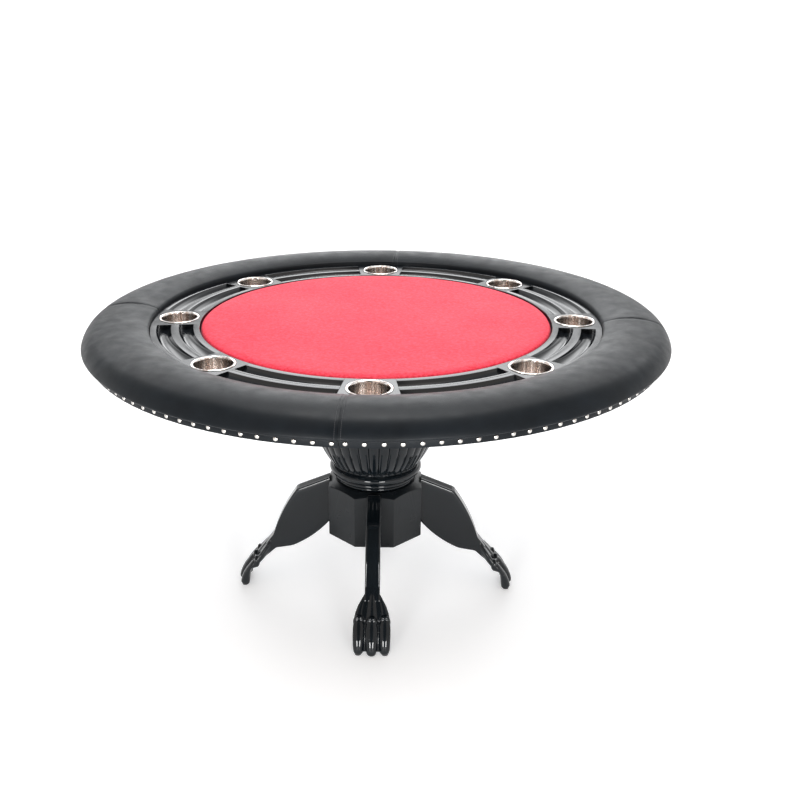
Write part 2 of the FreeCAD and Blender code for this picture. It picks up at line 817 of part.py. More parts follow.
def check_and_export():
    """Refuse a failed feature or a bad shape, then write one file a sub-part."""
    doc.recompute()
    for item in doc.Objects:
        if "Invalid" in item.State or "Error" in item.State:
            raise RuntimeError(f"{item.Label} did not recompute: {item.State}")
    os.makedirs("parts", exist_ok=True)
    for item in subparts:
        if item.Shape.isNull() or not item.Shape.isValid() or not item.Shape.Solids:
            raise RuntimeError(f"{item.Label} has a bad shape")
        item.Shape.exportStep(f"parts/{item.Label}.step")
        print(f"{item.Label}: {len(item.Shape.Solids)} solid(s), {item.Shape.Volume:.0f} mm3")


make_subtop()
make_rail()
make_trim_band()
seat_step = 360 / number("seats")
for seat in range(round(number("seats"))):
    seat_azimuth = FRONT + seat * seat_step
    make_cup_plate(seat + 1, seat_azimuth)
    make_cup_holder(seat + 1, seat_azimuth)
    make_chip_tray(seat + 1, seat_azimuth + seat_step / 2)
make_playing_surface()
make_mount()
make_urn()
make_collar()
make_hub()
make_tie_rod()
for leg_name, leg_azimuth in LEG_AZIMUTHS.items():
    make_leg(leg_name, leg_azimuth)
make_leg_fasteners()
check_and_export()
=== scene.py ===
"""Round card table: the visual model, in metres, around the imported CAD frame.

Pieces that CAD already shapes well keep their meshes and get materials and
small rounded edges. Soft, turned and carved pieces are built here in their
places and stand for their CAD nodes. The front leg points along -Y.
"""
import math
import random

import bmesh
import bpy
from mathutils import Matrix, Vector, noise

import json


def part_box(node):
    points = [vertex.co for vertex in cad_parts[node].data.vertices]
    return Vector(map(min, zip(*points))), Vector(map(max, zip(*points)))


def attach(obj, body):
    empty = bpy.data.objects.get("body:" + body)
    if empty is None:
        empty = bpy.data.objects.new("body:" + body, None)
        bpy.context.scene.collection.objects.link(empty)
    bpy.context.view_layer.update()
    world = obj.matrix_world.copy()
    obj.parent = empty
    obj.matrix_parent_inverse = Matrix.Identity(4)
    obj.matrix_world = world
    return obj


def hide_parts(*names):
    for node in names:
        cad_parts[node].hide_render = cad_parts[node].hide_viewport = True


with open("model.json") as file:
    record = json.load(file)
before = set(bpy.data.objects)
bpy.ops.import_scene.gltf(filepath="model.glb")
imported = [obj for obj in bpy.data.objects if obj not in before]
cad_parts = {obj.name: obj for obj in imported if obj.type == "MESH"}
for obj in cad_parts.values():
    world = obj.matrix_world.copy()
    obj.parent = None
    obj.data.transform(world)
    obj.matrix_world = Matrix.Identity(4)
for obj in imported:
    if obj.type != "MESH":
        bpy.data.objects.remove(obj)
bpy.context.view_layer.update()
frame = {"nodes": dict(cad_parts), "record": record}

MM = 0.001
TAU = 2 * math.pi
SEATS = 8
FRONT = -math.pi / 2
LEG_AZIMUTHS = {"right": 0, "back": 90, "left": 180, "front": 270}

# Levels and radii, read from the frame
DECK_LOW, DECK_TOP = (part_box("chip_tray_1")[i].z for i in (0, 1))
RAIL_TOP = max(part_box(f"rail_pad_{i}")[1].z for i in (1, 2, 3, 4))
RAIL_RADIUS = max(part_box(f"rail_pad_{i}")[1].x for i in (1, 2, 3, 4))
BAND_LOW, BAND_TOP = (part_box("trim_band")[i].z for i in (0, 1))
BAND_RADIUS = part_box("trim_band")[1].x
CLOTH_LOW, CLOTH_TOP = (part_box("playing_cloth")[i].z for i in (0, 1))
CLOTH_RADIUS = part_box("playing_cloth")[1].x
CUP_LOW, CUP_TOP = (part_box("cup_holder_1")[i].z for i in (0, 1))
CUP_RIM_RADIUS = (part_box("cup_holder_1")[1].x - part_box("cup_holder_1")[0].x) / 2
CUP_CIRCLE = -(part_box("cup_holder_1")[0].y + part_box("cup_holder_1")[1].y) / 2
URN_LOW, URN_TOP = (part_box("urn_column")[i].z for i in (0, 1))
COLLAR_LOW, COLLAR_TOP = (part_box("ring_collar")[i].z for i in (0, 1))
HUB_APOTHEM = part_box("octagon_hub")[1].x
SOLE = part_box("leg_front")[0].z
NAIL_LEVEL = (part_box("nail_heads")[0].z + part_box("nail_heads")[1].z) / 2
PAD_SEAMS = [math.radians(-94.3 + 90 * i) for i in range(4)]


# ------------------------------------------------------------ node helpers

def material(name):
    """A new material and its shader."""
    made = bpy.data.materials.new(name)
    made.use_nodes = True
    shader = made.node_tree.nodes["Principled BSDF"]
    return made, shader


def node(made, kind, inputs=None, **settings):
    """A shader node with socket values, and links where a value is a socket."""
    tree = made.node_tree
    new = tree.nodes.new(kind)
    for key, value in settings.items():
        setattr(new, key, value)
    for key, value in (inputs or {}).items():
        if isinstance(value, bpy.types.NodeSocket):
            tree.links.new(value, new.inputs[key])
        else:
            new.inputs[key].default_value = value
    return new


def link(made, output, shader, socket):
    """Feed a shader's named socket from a node's output."""
    made.node_tree.links.new(output, shader.inputs[socket])


def place_of(made):
    """The point's place on its own piece, in metres."""
    return node(made, "ShaderNodeTexCoord").outputs["Object"]


def speckle(made, scale, detail=2.0, where=None):
    """Noise from 0 to 1 at a scale in cycles a metre."""
    inputs = {"Vector": where or place_of(made), "Scale": scale, "Detail": detail}
    return node(made, "ShaderNodeTexNoise", inputs).outputs["Fac"]


def spread(made, value, low, high, from_low=0.3, from_high=0.7):
    """Map a factor to a range of numbers."""
    inputs = {"Value": value, "From Min": from_low, "From Max": from_high,
              "To Min": low, "To Max": high}
    return node(made, "ShaderNodeMapRange", inputs).outputs["Result"]


def tint(made, value, dark, light):
    """Map a factor to a range of colours."""
    ramp = node(made, "ShaderNodeValToRGB", {"Fac": value})
    ramp.color_ramp.elements[0].position = 0.3
    ramp.color_ramp.elements[0].color = (*dark, 1)
    ramp.color_ramp.elements[1].position = 0.7
    ramp.color_ramp.elements[1].color = (*light, 1)
    return ramp.outputs["Color"]


def bump(made, height, distance, strength=1.0, under=None):
    """A normal raised by a height factor, over another bump if one is given."""
    inputs = {"Height": height, "Distance": distance, "Strength": strength}
    if under:
        inputs["Normal"] = under
    return node(made, "ShaderNodeBump", inputs).outputs["Normal"]


# --------------------------------------------------------------- materials

def lacquer(name, base, smooth, rough, peel, shine):
    """Black lacquer: clear gloss with orange peel and faint handling marks."""
    made, shader = material(name)
    light = tuple(value * 1.6 for value in base)
    link(made, tint(made, speckle(made, 9, 4), base, light), shader, "Base Color")
    link(made, spread(made, speckle(made, 26, 5), smooth, rough), shader, "Roughness")
    shader.inputs["Specular IOR Level"].default_value = shine
    link(made, bump(made, speckle(made, 420, 1), peel), shader, "Normal")
    return made


def vinyl(name, base):
    """Embossed upholstery vinyl: pebbled grain with a satin wear sheen."""
    made, shader = material(name)
    where = place_of(made)
    cells = node(made, "ShaderNodeTexVoronoi", {"Vector": where, "Scale": 780.0},
                 feature="DISTANCE_TO_EDGE").outputs["Distance"]
    pebble = spread(made, cells, 0, 1, 0.0, 0.35)
    creases = speckle(made, 210, 4, where)
    light = tuple(value * 1.7 for value in base)
    link(made, tint(made, speckle(made, 14, 3, where), base, light), shader, "Base Color")
    link(made, spread(made, speckle(made, 33, 4, where), 0.34, 0.46), shader, "Roughness")
    shader.inputs["Specular IOR Level"].default_value = 0.14
    soft = bump(made, creases, 0.00012, 0.7)
    link(made, bump(made, pebble, 0.00006, 0.6, soft), shader, "Normal")
    return made


def card_cloth(name):
    """Tight woven card cloth: two crossed sets of threads with a fine speckle, in a red lifted
    towards pink as a painted sheen.
    """
    made, shader = material(name)
    where = place_of(made)
    threads = []
    for direction in ("X", "Y"):
        wave = node(made, "ShaderNodeTexWave",
                    {"Vector": where, "Scale": 270.0, "Distortion": 1.2, "Detail": 2.0,
                     "Detail Scale": 3.0}, bands_direction=direction)
        threads.append(wave.outputs["Fac"])
    weave = node(made, "ShaderNodeMath", {0: threads[0], 1: threads[1]},
                 operation="MULTIPLY").outputs["Value"]
    fibre = speckle(made, 900, 3, where)
    pattern = node(made, "ShaderNodeMix", {0: 0.6, 2: weave, 3: fibre}).outputs[0]
    slub = speckle(made, 150, 3, where)
    weave_and_painted_sheen_mottle = node(made, "ShaderNodeMix", {0: 0.68, 2: pattern, 3: slub}).outputs[0]
    # Painted sheen: the red is lifted towards pink in green and blue, and its mottle stands both
    # for the weave's own tone and for sheen varying over the weave
    colour = tint(made, weave_and_painted_sheen_mottle, (0.6, 0.018, 0.036), (1.0, 0.072, 0.122))
    patch = speckle(made, 5, 3, where)
    link(made, colour, shader, "Base Color")
    shader.inputs["Specular IOR Level"].default_value = 0.08
    shader.inputs["Sheen Weight"].default_value = 0.14
    shader.inputs["Sheen Roughness"].default_value = 0.27
    shader.inputs["Sheen Tint"].default_value = (1.0, 0.82, 0.98, 1)
    link(made, spread(made, patch, 0.5, 0.6), shader, "Roughness")
    link(made, bump(made, pattern, 0.00018, 0.8), shader, "Normal")
    return made


def metal(name, colour, smooth, rough, grain, scale):
    """Polished or plated metal with fine polishing marks."""
    made, shader = material(name)
    shader.inputs["Metallic"].default_value = 1
    dark = tuple(value * 0.86 for value in colour)
    link(made, tint(made, speckle(made, 60, 3), dark, colour), shader, "Base Color")
    link(made, spread(made, speckle(made, scale, 3), smooth, rough), shader, "Roughness")
    link(made, bump(made, speckle(made, scale * 3, 2), grain), shader, "Normal")
    return made


def spun_metal(name, colour, smooth, rough):
    """Sheet metal polished on a lathe: its shine runs round its own axis, over painted
    reflections:
    upright streaks of a warmer tone in its colour that stand for the room reflected in it."""
    made, shader = material(name)
    shader.inputs["Metallic"].default_value = 1
    upright = node(made, "ShaderNodeVectorMath", {0: place_of(made), 1: (1, 1, 0)},
                   operation="MULTIPLY").outputs["Vector"]
    # Painted reflection: upright tan streaks in the base colour stand for the room's bands
    # reflected in the cups
    painted_reflection_streaks = spread(made, speckle(made, 110, 1, upright), 0.3, 0.7, 0.4, 0.6)
    link(made, tint(made, painted_reflection_streaks, (0.72, 0.63, 0.58), colour), shader, "Base Color")
    link(made, spread(made, speckle(made, 240, 3), smooth, rough), shader, "Roughness")
    shader.inputs["Anisotropic"].default_value = 0.8
    shader.inputs["Anisotropic Rotation"].default_value = 0.25
    tangent = node(made, "ShaderNodeTangent", direction_type="RADIAL", axis="Z")
    link(made, tangent.outputs["Tangent"], shader, "Tangent")
    return made


def board(name, base):
    """Stained board: matt, with fibre specks."""
    made, shader = material(name)
    light = tuple(value * 2.2 for value in base)
    link(made, tint(made, speckle(made, 340, 5), base, light), shader, "Base Color")
    link(made, spread(made, speckle(made, 90, 3), 0.5, 0.68), shader, "Roughness")
    link(made, bump(made, speckle(made, 700, 3), 0.00015, 0.7), shader, "Normal")
    return made


def plain_plastic(name, base, rough):
    """Satin moulded plastic or waxed thread, faintly uneven."""
    made, shader = material(name)
    light = tuple(value * 1.3 for value in base)
    link(made, tint(made, speckle(made, 120, 3), base, light), shader, "Base Color")
    link(made, spread(made, speckle(made, 200, 3), rough, rough + 0.12), shader, "Roughness")
    link(made, bump(made, speckle(made, 1500, 2), 0.00004), shader, "Normal")
    return made


FINISH = {
    "gloss_lacquer": lacquer("gloss_lacquer", (0.0028, 0.0042, 0.0055), 0.05, 0.09, 0.00002, 0.36),
    "deck_lacquer": lacquer("deck_lacquer", (0.005, 0.0062, 0.0078), 0.09, 0.16, 0.00002, 0.5),
    "hub_lacquer": lacquer("hub_lacquer", (0.004, 0.0054, 0.0066), 0.26, 0.36, 0.00003, 0.28),
    "black_vinyl": vinyl("black_vinyl", (0.0034, 0.0048, 0.0064)),
    "red_cloth": card_cloth("red_cloth"),
    "stainless": spun_metal("stainless", (1.0, 0.985, 0.97), 0.12, 0.17),
    "nickel": metal("nickel", (0.64, 0.62, 0.59), 0.08, 0.14, 0.00001, 500),
    "zinc_steel": metal("zinc_steel", (0.62, 0.62, 0.6), 0.28, 0.42, 0.00003, 400),
    "board": board("board", (0.012, 0.0115, 0.011)),
    "foam": board("foam", (0.45, 0.43, 0.36)),
    "nylon": plain_plastic("nylon", (0.03, 0.03, 0.032), 0.45),
    "thread": plain_plastic("thread", (0.035, 0.036, 0.04), 0.5),
}


# ------------------------------------------------------------ mesh helpers

def new_piece(name, vertices, faces, finish, body="table", crease=40):
    """A mesh object that rides on a body, smooth except across sharp creases."""
    mesh = bpy.data.meshes.new(name)
    mesh.from_pydata([tuple(v) for v in vertices], [], faces)
    return finish_piece(name, mesh, finish, body, crease)


def finish_piece(name, mesh, finish, body="table", crease=40):
    """Shade a mesh, give it its finish and put it on its body."""
    work = bmesh.new()
    work.from_mesh(mesh)
    bmesh.ops.recalc_face_normals(work, faces=work.faces)
    limit = math.radians(crease)
    for edge in work.edges:
        edge.smooth = len(edge.link_faces) == 2 and edge.calc_face_angle(0) < limit
    for face in work.faces:
        face.smooth = True
    work.to_mesh(mesh)
    work.free()
    mesh.materials.clear()
    mesh.materials.append(FINISH[finish])
    piece = bpy.data.objects.new(name, mesh)
    bpy.context.scene.collection.objects.link(piece)
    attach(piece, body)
    return piece


def rounded(corners, steps=5):
    """A polyline of (x, y, fillet radius) corners with each fillet as an arc."""
    points = []
    for index, (x, y, radius) in enumerate(corners):
        here = Vector((x, y))
        before = Vector(corners[index - 1][:2]) - here
        after = Vector(corners[(index + 1) % len(corners)][:2]) - here
        if radius <= 0:
            points.append(here)
            continue
        half = before.angle(after) / 2
        reach = min(radius / math.tan(half), before.length * 0.49, after.length * 0.49)
        start = here + before.normalized() * reach
        end = here + after.normalized() * reach
        centre = here + (before.normalized() + after.normalized()).normalized() * (
            reach / math.cos(half))
        first, last = start - centre, end - centre
        turn = first.angle_signed(last)
        for step in range(steps + 1):
            bend = Matrix.Rotation(-turn * step / steps, 2)
            points.append(centre + bend @ first)
    return points


def arc_points(start, end, radius, steps):
    """Points after start up to end on an arc, left-hand turn if radius > 0."""
    start, end = Vector(start), Vector(end)
    half = (end - start) / 2
    normal = Vector((-half.y, half.x)).normalized()
    reach = math.sqrt(max(radius ** 2 - half.length_squared, 0))
    centre = start + half + normal * math.copysign(reach, radius)
    first, last = start - centre, end - centre
    turn = first.angle_signed(last)
    return [centre + Matrix.Rotation(-turn * i / steps, 2) @ first
            for i in range(1, steps + 1)]


def lathe(profile, segments, start=0.0, sweep=TAU, closed=True):
    """Vertices and faces of a (radius, height) profile turned about Z.

    A closed profile is a loop; a full sweep joins its ends, and a part sweep
    gets a cap at each end. An open profile that starts and ends on the axis
    makes a closed solid of a full sweep.
    """
    full = abs(sweep - TAU) < 1e-9
    stations = segments if full else segments + 1
    count = len(profile)
    vertices = []
    for station in range(stations):
        angle = start + sweep * station / segments
        across = (math.cos(angle), math.sin(angle))
        vertices += [(r * across[0], r * across[1], z) for r, z in profile]
    faces = []
    for station in range(segments):
        following = (station + 1) % stations
        for index in range(count if closed else count - 1):
            other = (index + 1) % count
            faces.append((station * count + index, station * count + other,
                          following * count + other, following * count + index))
    if not full:
        faces.append(tuple(range(count)))
        faces.append(tuple(range((stations - 1) * count, stations * count)))
    return vertices, faces


def welded(vertices, faces):
    """Join vertices that coincide, as on a turning's axis."""
    mesh = bpy.data.meshes.new("welded")
    mesh.from_pydata([tuple(v) for v in vertices], [], faces)
    work = bmesh.new()
    work.from_mesh(mesh)
    bmesh.ops.remove_doubles(work, verts=work.verts, dist=1e-6)
    bmesh.ops.dissolve_degenerate(work, edges=work.edges, dist=1e-7)
    work.to_mesh(mesh)
    work.free()
    return mesh


def turned_piece(name, profile, segments, finish, body="table", centre=(0, 0), crease=40):
    """A turning whose open profile starts and ends on the axis."""
    vertices, faces = lathe(profile, segments, closed=False)
    vertices = [(x + centre[0], y + centre[1], z) for x, y, z in vertices]
    mesh = welded(vertices, faces)
    mesh.name = name
    return finish_piece(name, mesh, finish, body, crease)


def skin(rings, width, base=0):
    """The quads between closed rings of vertices that follow each other."""
    faces = []
    for ring in range(rings - 1):
        low = base + ring * width
        for index in range(width):
            other = (index + 1) % width
            faces.append((low + index, low + other, low + width + other, low + width + index))
    return faces


def end_caps(rings, width, base=0):
    """The two faces that close a skin."""
    last = base + (rings - 1) * width
    return [tuple(range(base, base + width)), tuple(range(last, last + width))]


def run_lengths(line):
    """The length along a polyline up to each of its points."""
    lengths = [0.0]
    for one, two in zip(line, line[1:]):
        lengths.append(lengths[-1] + (two - one).length)
    return lengths


def around(radius, angle):
    """The point of the floor plane at a radius and an angle."""
    return Vector((radius * math.cos(angle), radius * math.sin(angle), 0))


# ------------------------------------------------------ carried-over nodes

def dress_nodes():
    """Give every CAD node its finish, and the flat-sided ones rounded edges."""
    finish_of = {entry["node"]: entry["material_slot"]
                 for entry in frame["record"]["subparts"]}
    round_edges = {"cup_plate": 0.7, "subtop": 1.5, "mount_board": 2.0, "brace": 2.5,
                   "octagon_hub": 1.6, "hub_bottom": 1.0, "mount_bolts": 0.3,
                   "rail_bolts": 0.3, "tie_rod": 0.4, "leg_bolts": 0.3}
    for name, part in frame["nodes"].items():
        finish = "hub_lacquer" if name == "octagon_hub" else finish_of[name]
        part.data.materials.clear()
        part.data.materials.append(FINISH[finish])
        width = next((w for key, w in round_edges.items() if name.startswith(key)), 0)
        if width:
            weld = part.modifiers.new("weld", "WELD")
            weld.merge_threshold = 1e-5
            edge = part.modifiers.new("rounded_edges", "BEVEL")
            edge.width = width * MM
            edge.segments = 3
            edge.limit_method = "ANGLE"
            edge.angle_limit = math.radians(35)
            edge.harden_normals = True


# ---------------------------------------------------------------- the deck

GROOVE_RADII = (455.6 * MM, 508.2 * MM)
GROOVE_HALF = 17 * MM
GROOVE_CURVE = 17.7 * MM
DECK_INNER, DECK_OUTER = 424 * MM, 540.5 * MM
PLATE_HALF = math.radians(7.1)
TRAY_HALF = math.pi / SEATS - PLATE_HALF - math.radians(0.05)


def tray_profile():
    """The section of a chip tray, with softened lips along both grooves."""
    lip = 1.1 * MM
    points = [Vector((DECK_INNER, DECK_LOW)), Vector((DECK_OUTER, DECK_LOW))]
    points += [Vector((DECK_OUTER, DECK_TOP - lip)), Vector((DECK_OUTER - lip, DECK_TOP))]
    for centre in reversed(GROOVE_RADII):
        right = Vector((centre + GROOVE_HALF, DECK_TOP))
        left = Vector((centre - GROOVE_HALF, DECK_TOP))
        floor = arc_points(right, left, -GROOVE_CURVE, 26)
        points.append(right + Vector((lip * 0.9, 0)))
        points.append(right + Vector((lip * 0.2, -lip * 0.16)))
        points += floor[1:-2]
        points.append(left + Vector((-lip * 0.2, -lip * 0.16)))
        points.append(left + Vector((-lip * 0.9, 0)))
    points += [Vector((DECK_INNER + lip, DECK_TOP)), Vector((DECK_INNER, DECK_TOP - lip))]
    return points


def make_chip_trays():
    """Eight lacquered trays, one between each two cups."""
    profile = [tuple(point) for point in tray_profile()]
    for seat in range(SEATS):
        middle = FRONT + (seat + 0.5) * TAU / SEATS
        vertices, faces = lathe(profile, 56, middle - TRAY_HALF, 2 * TRAY_HALF)
        name = f"chip_tray_{seat + 1}"
        tray = new_piece(f"{name}_lacquered", vertices, faces, "deck_lacquer", crease=28)
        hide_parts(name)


def cup_profile():
    """A spun cup from the axis outside its base, over the rolled rim, to the
    axis inside."""
    bore, wall, corner = 42.5 * MM, 1.0 * MM, 5 * MM
    rim, top, low = CUP_RIM_RADIUS, CUP_TOP, CUP_LOW
    seat = DECK_TOP + 0.2 * MM
    dish, foot, rise = 28 * MM, 30 * MM, 1.2 * MM
    outline = [
        (0, low + rise, 0), (dish, low + rise, 1 * MM), (foot, low, 1 * MM),
        (bore + wall, low, corner), (bore + wall, seat, 0.6 * MM),
        (rim, seat, 0.5 * MM), (rim, seat + 0.9 * MM, 0.8 * MM),
        (rim - 1.8 * MM, top, 2.2 * MM), (bore + 0.9 * MM, seat + 0.9 * MM, 1.6 * MM),
        (bore, seat - 2.5 * MM, 3.0 * MM), (bore, low + wall, corner - wall),
        (foot, low + wall, 1 * MM), (dish, low + wall + rise, 1 * MM),
        (0, low + wall + rise, 0),
    ]
    return [tuple(point) for point in rounded(outline, 6)]


def make_cup_holders():
    """Eight cups, each on a body of its own."""
    profile = cup_profile()
    for seat in range(SEATS):
        centre = around(CUP_CIRCLE, FRONT + seat * TAU / SEATS)
        name = f"cup_holder_{seat + 1}"
        cup = turned_piece(f"{name}_spun", profile, 96, "stainless", f"cup_{seat + 1}",
                           (centre.x, centre.y), crease=50)
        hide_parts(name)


# ------------------------------------------------------ the playing surface

def inset(points, distance):
    """A polyline moved to its right-hand side by a distance."""
    moved = []
    for index, point in enumerate(points):
        before, after = points[max(index - 1, 0)], points[min(index + 1, len(points) - 1)]
        along = (after - before).normalized()
        moved.append(point + Vector((along.y, -along.x)) * distance)
    return moved


def cloth_line():
    """The cloth's outer line: flat, a soft fall at the edge, then down and under."""
    flat_end = Vector((0.399, CLOTH_TOP))
    shoulder = Vector((CLOTH_RADIUS - 5 * MM, CLOTH_TOP - 3.4 * MM))
    side = Vector((CLOTH_RADIUS, CLOTH_TOP - 12 * MM))
    line = [Vector((r, CLOTH_TOP)) for r in (0, 0.08, 0.16, 0.24, 0.3, 0.34, 0.37, 0.39)]
    line.append(flat_end)
    line += arc_points(flat_end, shoulder, -50 * MM, 8)
    line += arc_points(shoulder, side, -13 * MM, 7)
    return line


def make_card_cloth():
    """The cloth: flat over the foam, soft at the edge and tucked under."""
    thick, hem = 1.2 * MM, 26 * MM
    over = cloth_line()
    under = rounded([(over[-1].x, over[-1].y, 0), (CLOTH_RADIUS, CLOTH_LOW, 1.6 * MM),
                     (CLOTH_RADIUS - hem, CLOTH_LOW, 0)], 5)
    outside = over + under[1:]
    inside = inset(outside, thick)
    inside[0].x = 0.0
    profile = [tuple(point) for point in outside + inside[::-1]]
    cloth = turned_piece("card_cloth", profile, 288, "red_cloth", "playing_surface")
    tight_from = 0.34
    for vertex in cloth.data.vertices:
        x, y, z = vertex.co
        edge = max(0.0, (math.hypot(x, y) - tight_from) / (CLOTH_RADIUS - tight_from))
        pull = noise.noise(Vector((x * 9, y * 9, 0.4))) * edge
        slack = noise.noise(Vector((x * 5, y * 5, 3.1)))
        if z > (CLOTH_LOW + CLOTH_TOP) / 2:
            vertex.co.z += (0.25 * slack + 0.35 * pull - 0.25) * MM
        scale = 1 + 0.6 * MM * (pull - 0.4) * edge / CLOTH_RADIUS
        vertex.co.x *= scale
        vertex.co.y *= scale
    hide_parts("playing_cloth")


def make_foam():
    """The foam under the cloth, with its upper edge worn soft."""
    top = inset(cloth_line(), 2.2 * MM)
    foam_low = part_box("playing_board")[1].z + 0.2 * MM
    top[0].x = 0.0
    profile = [tuple(point) for point in top]
    profile += [(top[-1].x, foam_low), (0.0, foam_low)]
    foam = turned_piece("foam_layer", profile, 160, "foam", "playing_surface")
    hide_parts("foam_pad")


# ---------------------------------------------------------------- the rail

def pad_profile():
    """The rail's outer face from its inner foot over the crest to the tuck."""
    crest = RAIL_TOP
    inner = 541.3 * MM
    points = [Vector((inner, DECK_LOW + 1 * MM)), Vector((inner, DECK_TOP - 2 * MM)),
              Vector((inner, DECK_TOP + 3.5 * MM))]
    legs = [
        ((547 * MM, crest - 11.3 * MM), -9.3 * MM, 6),
        ((609 * MM, crest), -176 * MM, 14),
        ((664 * MM, crest - 8.8 * MM), -176 * MM, 12),
        ((RAIL_RADIUS, crest - 45.5 * MM), -52.6 * MM, 14),
        ((694.5 * MM, DECK_LOW + 0.4 * MM), -4.2 * MM, 5),
    ]
    for end, radius, steps in legs:
        points += arc_points(points[-1], end, radius, steps)
    return points


def seam_sink(distance):
    """How far the vinyl dips beside a seam, and the puckers the stitches pull."""
    return 2.4 * MM * math.exp(-(distance / (6.5 * MM)) ** 1.4)


def make_rail():
    """Four padded vinyl quarters, sunk along their seams, and their stitching."""
    face = pad_profile()
    stations = 220
    quarter = TAU / 4
    half_gap = 0.00035
    middle_radius = 0.62
    floor_points = [Vector((678 * MM, DECK_LOW + 0.4 * MM)),
                    Vector((600 * MM, DECK_LOW + 0.4 * MM)),
                    Vector((548 * MM, DECK_LOW + 0.6 * MM))]
    loop = face + floor_points
    width, count = len(loop), len(face)
    # The point inside the pad's section that its face sinks towards
    heart = Vector((618 * MM, 716 * MM))
    for number, seam in enumerate(PAD_SEAMS):
        vertices = []
        for station in range(stations + 1):
            swing = math.cos(math.pi * station / stations)
            share = 0.5 - 0.5 * math.copysign(abs(swing) ** 0.8, swing)
            angle = seam + min(max(quarter * share, half_gap), quarter - half_gap)
            near = min(share, 1 - share) * quarter * middle_radius
            for index, (radius, level) in enumerate(loop):
                sink = 0.0
                if index < count:
                    middle = math.sin(math.pi * index / (count - 1)) ** 0.5
                    spot = Vector((radius * math.cos(angle), radius * math.sin(angle), level))
                    lump = 0.35 * MM * noise.noise(spot * 14)
                    pucker = 0.5 * MM * noise.noise(spot * 85) * math.exp(-near / (22 * MM))
                    sink = (seam_sink(near) + lump + pucker) * middle
                inwards = (heart - Vector((radius, level))).normalized() * sink
                r, z = radius + inwards.x, level + inwards.y
                vertices.append((r * math.cos(angle), r * math.sin(angle), z))
        faces = skin(stations + 1, width) + end_caps(stations + 1, width)
        name = f"rail_pad_{number + 1}"
        pad = new_piece(f"{name}_vinyl", vertices, faces, "black_vinyl", crease=50)
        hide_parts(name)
    make_stitches(face)


def capsule(start, end, radius, normal, vertices, faces):
    """Append a thread stitch: a six-sided rod with pulled-in ends."""
    axis = (end - start).normalized()
    side = axis.cross(normal).normalized()
    base = len(vertices)
    sides = 6
    # Each ring's share of the stitch's length, its size and its lift, in thread radii
    rings = ((0.0, 0.35, -0.5), (0.18, 0.95, 0.1), (0.5, 1.0, 0.35), (0.82, 0.95, 0.1),
             (1.0, 0.35, -0.5))
    for share, size, lift in rings:
        centre = start.lerp(end, share) + normal * radius * lift
        for corner in range(sides):
            turn = corner * TAU / sides
            vertices.append(centre + (side * math.cos(turn) + normal * math.sin(turn))
                            * radius * size)
    faces += skin(len(rings), sides, base) + end_caps(len(rings), sides, base)


def make_stitches(face):
    """A row of topstitching on each side of every rail seam."""
    vertices, faces = [], []
    lengths = run_lengths(face)
    pitch, run, beside, thread = 4.2 * MM, 3.0 * MM, 6.2 * MM, 0.5 * MM

    def on_face(distance):
        """The point at a distance along the face, and the face's direction there."""
        for index in range(len(face) - 1):
            if lengths[index + 1] >= distance:
                share = (distance - lengths[index]) / (lengths[index + 1] - lengths[index])
                return face[index].lerp(face[index + 1], share), face[index + 1] - face[index]
        return face[-1], face[-1] - face[-2]

    for seam in PAD_SEAMS:
        for side in (-1, 1):
            distance = 12 * MM
            while distance + run < lengths[-1] - 3 * MM:
                ends = []
                for place in (distance, distance + run):
                    point, tangent = on_face(place)
                    normal = Vector((-tangent.y, tangent.x)).normalized()
                    point = point - normal * (seam_sink(beside) - thread / 2)
                    angle = seam + side * beside / point.x
                    out = Vector((math.cos(angle), math.sin(angle), 0))
                    ends.append((out * point.x + Vector((0, 0, point.y)),
                                 out * normal.x + Vector((0, 0, normal.y))))
                capsule(ends[0][0], ends[1][0], thread, ends[0][1], vertices, faces)
                distance += pitch
    new_piece("rail_stitching", vertices, faces, "thread", crease=70)


def make_trim_band():
    """The vinyl strip: puffed between its nails, with a butt joint at each seam."""
    nails = nail_angles()
    # Shares of the strip's height, and how far it puffs out at each
    rows = [(0.0, -0.5), (0.12, 0.1), (0.3, 0.5), (0.5, 0.6), (0.7, 0.5), (0.88, 0.1), (1.0, -0.5)]
    height = BAND_TOP - BAND_LOW - 0.4 * MM
    inner = BAND_RADIUS - 3.4 * MM
    stations = 240
    width = len(rows) + 2
    for number, seam in enumerate(PAD_SEAMS):
        vertices = []
        for station in range(stations + 1):
            share = station / stations
            angle = seam + TAU / 4 * (0.0006 + share * 0.9988)
            near = min(abs(math.remainder(angle - nail, TAU)) for nail in nails)
            dimple = math.exp(-(near * BAND_RADIUS / (7 * MM)) ** 2)
            edge = math.exp(-(min(share, 1 - share) * TAU / 4 * BAND_RADIUS / (3 * MM)) ** 2)
            for up, puff in rows:
                swell = puff * 0.9 * MM * (1 - 0.85 * dimple) - 0.5 * MM * edge
                radius = BAND_RADIUS - 0.6 * MM + swell
                vertices.append(around(radius, angle) + Vector((0, 0, BAND_LOW + up * height)))
            vertices.append(around(inner, angle) + Vector((0, 0, BAND_TOP - 0.4 * MM)))
            vertices.append(around(inner, angle) + Vector((0, 0, BAND_LOW)))
        faces = skin(stations + 1, width) + end_caps(stations + 1, width)
        strip = new_piece(f"trim_strip_{number + 1}", vertices, faces, "black_vinyl", crease=50)
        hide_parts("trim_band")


def nail_angles():
    """Hand-set nails: an even pitch with small errors, and a pair at each seam."""
    wander = random.Random(7)
    nails_per_pad = 30
    gap = math.radians(1.1)
    pitch = (TAU / 4 - 2 * gap) / (nails_per_pad - 1)
    return [seam + gap + pitch * nail + wander.uniform(-1, 1) * 0.0012
            for seam in PAD_SEAMS for nail in range(nails_per_pad)]


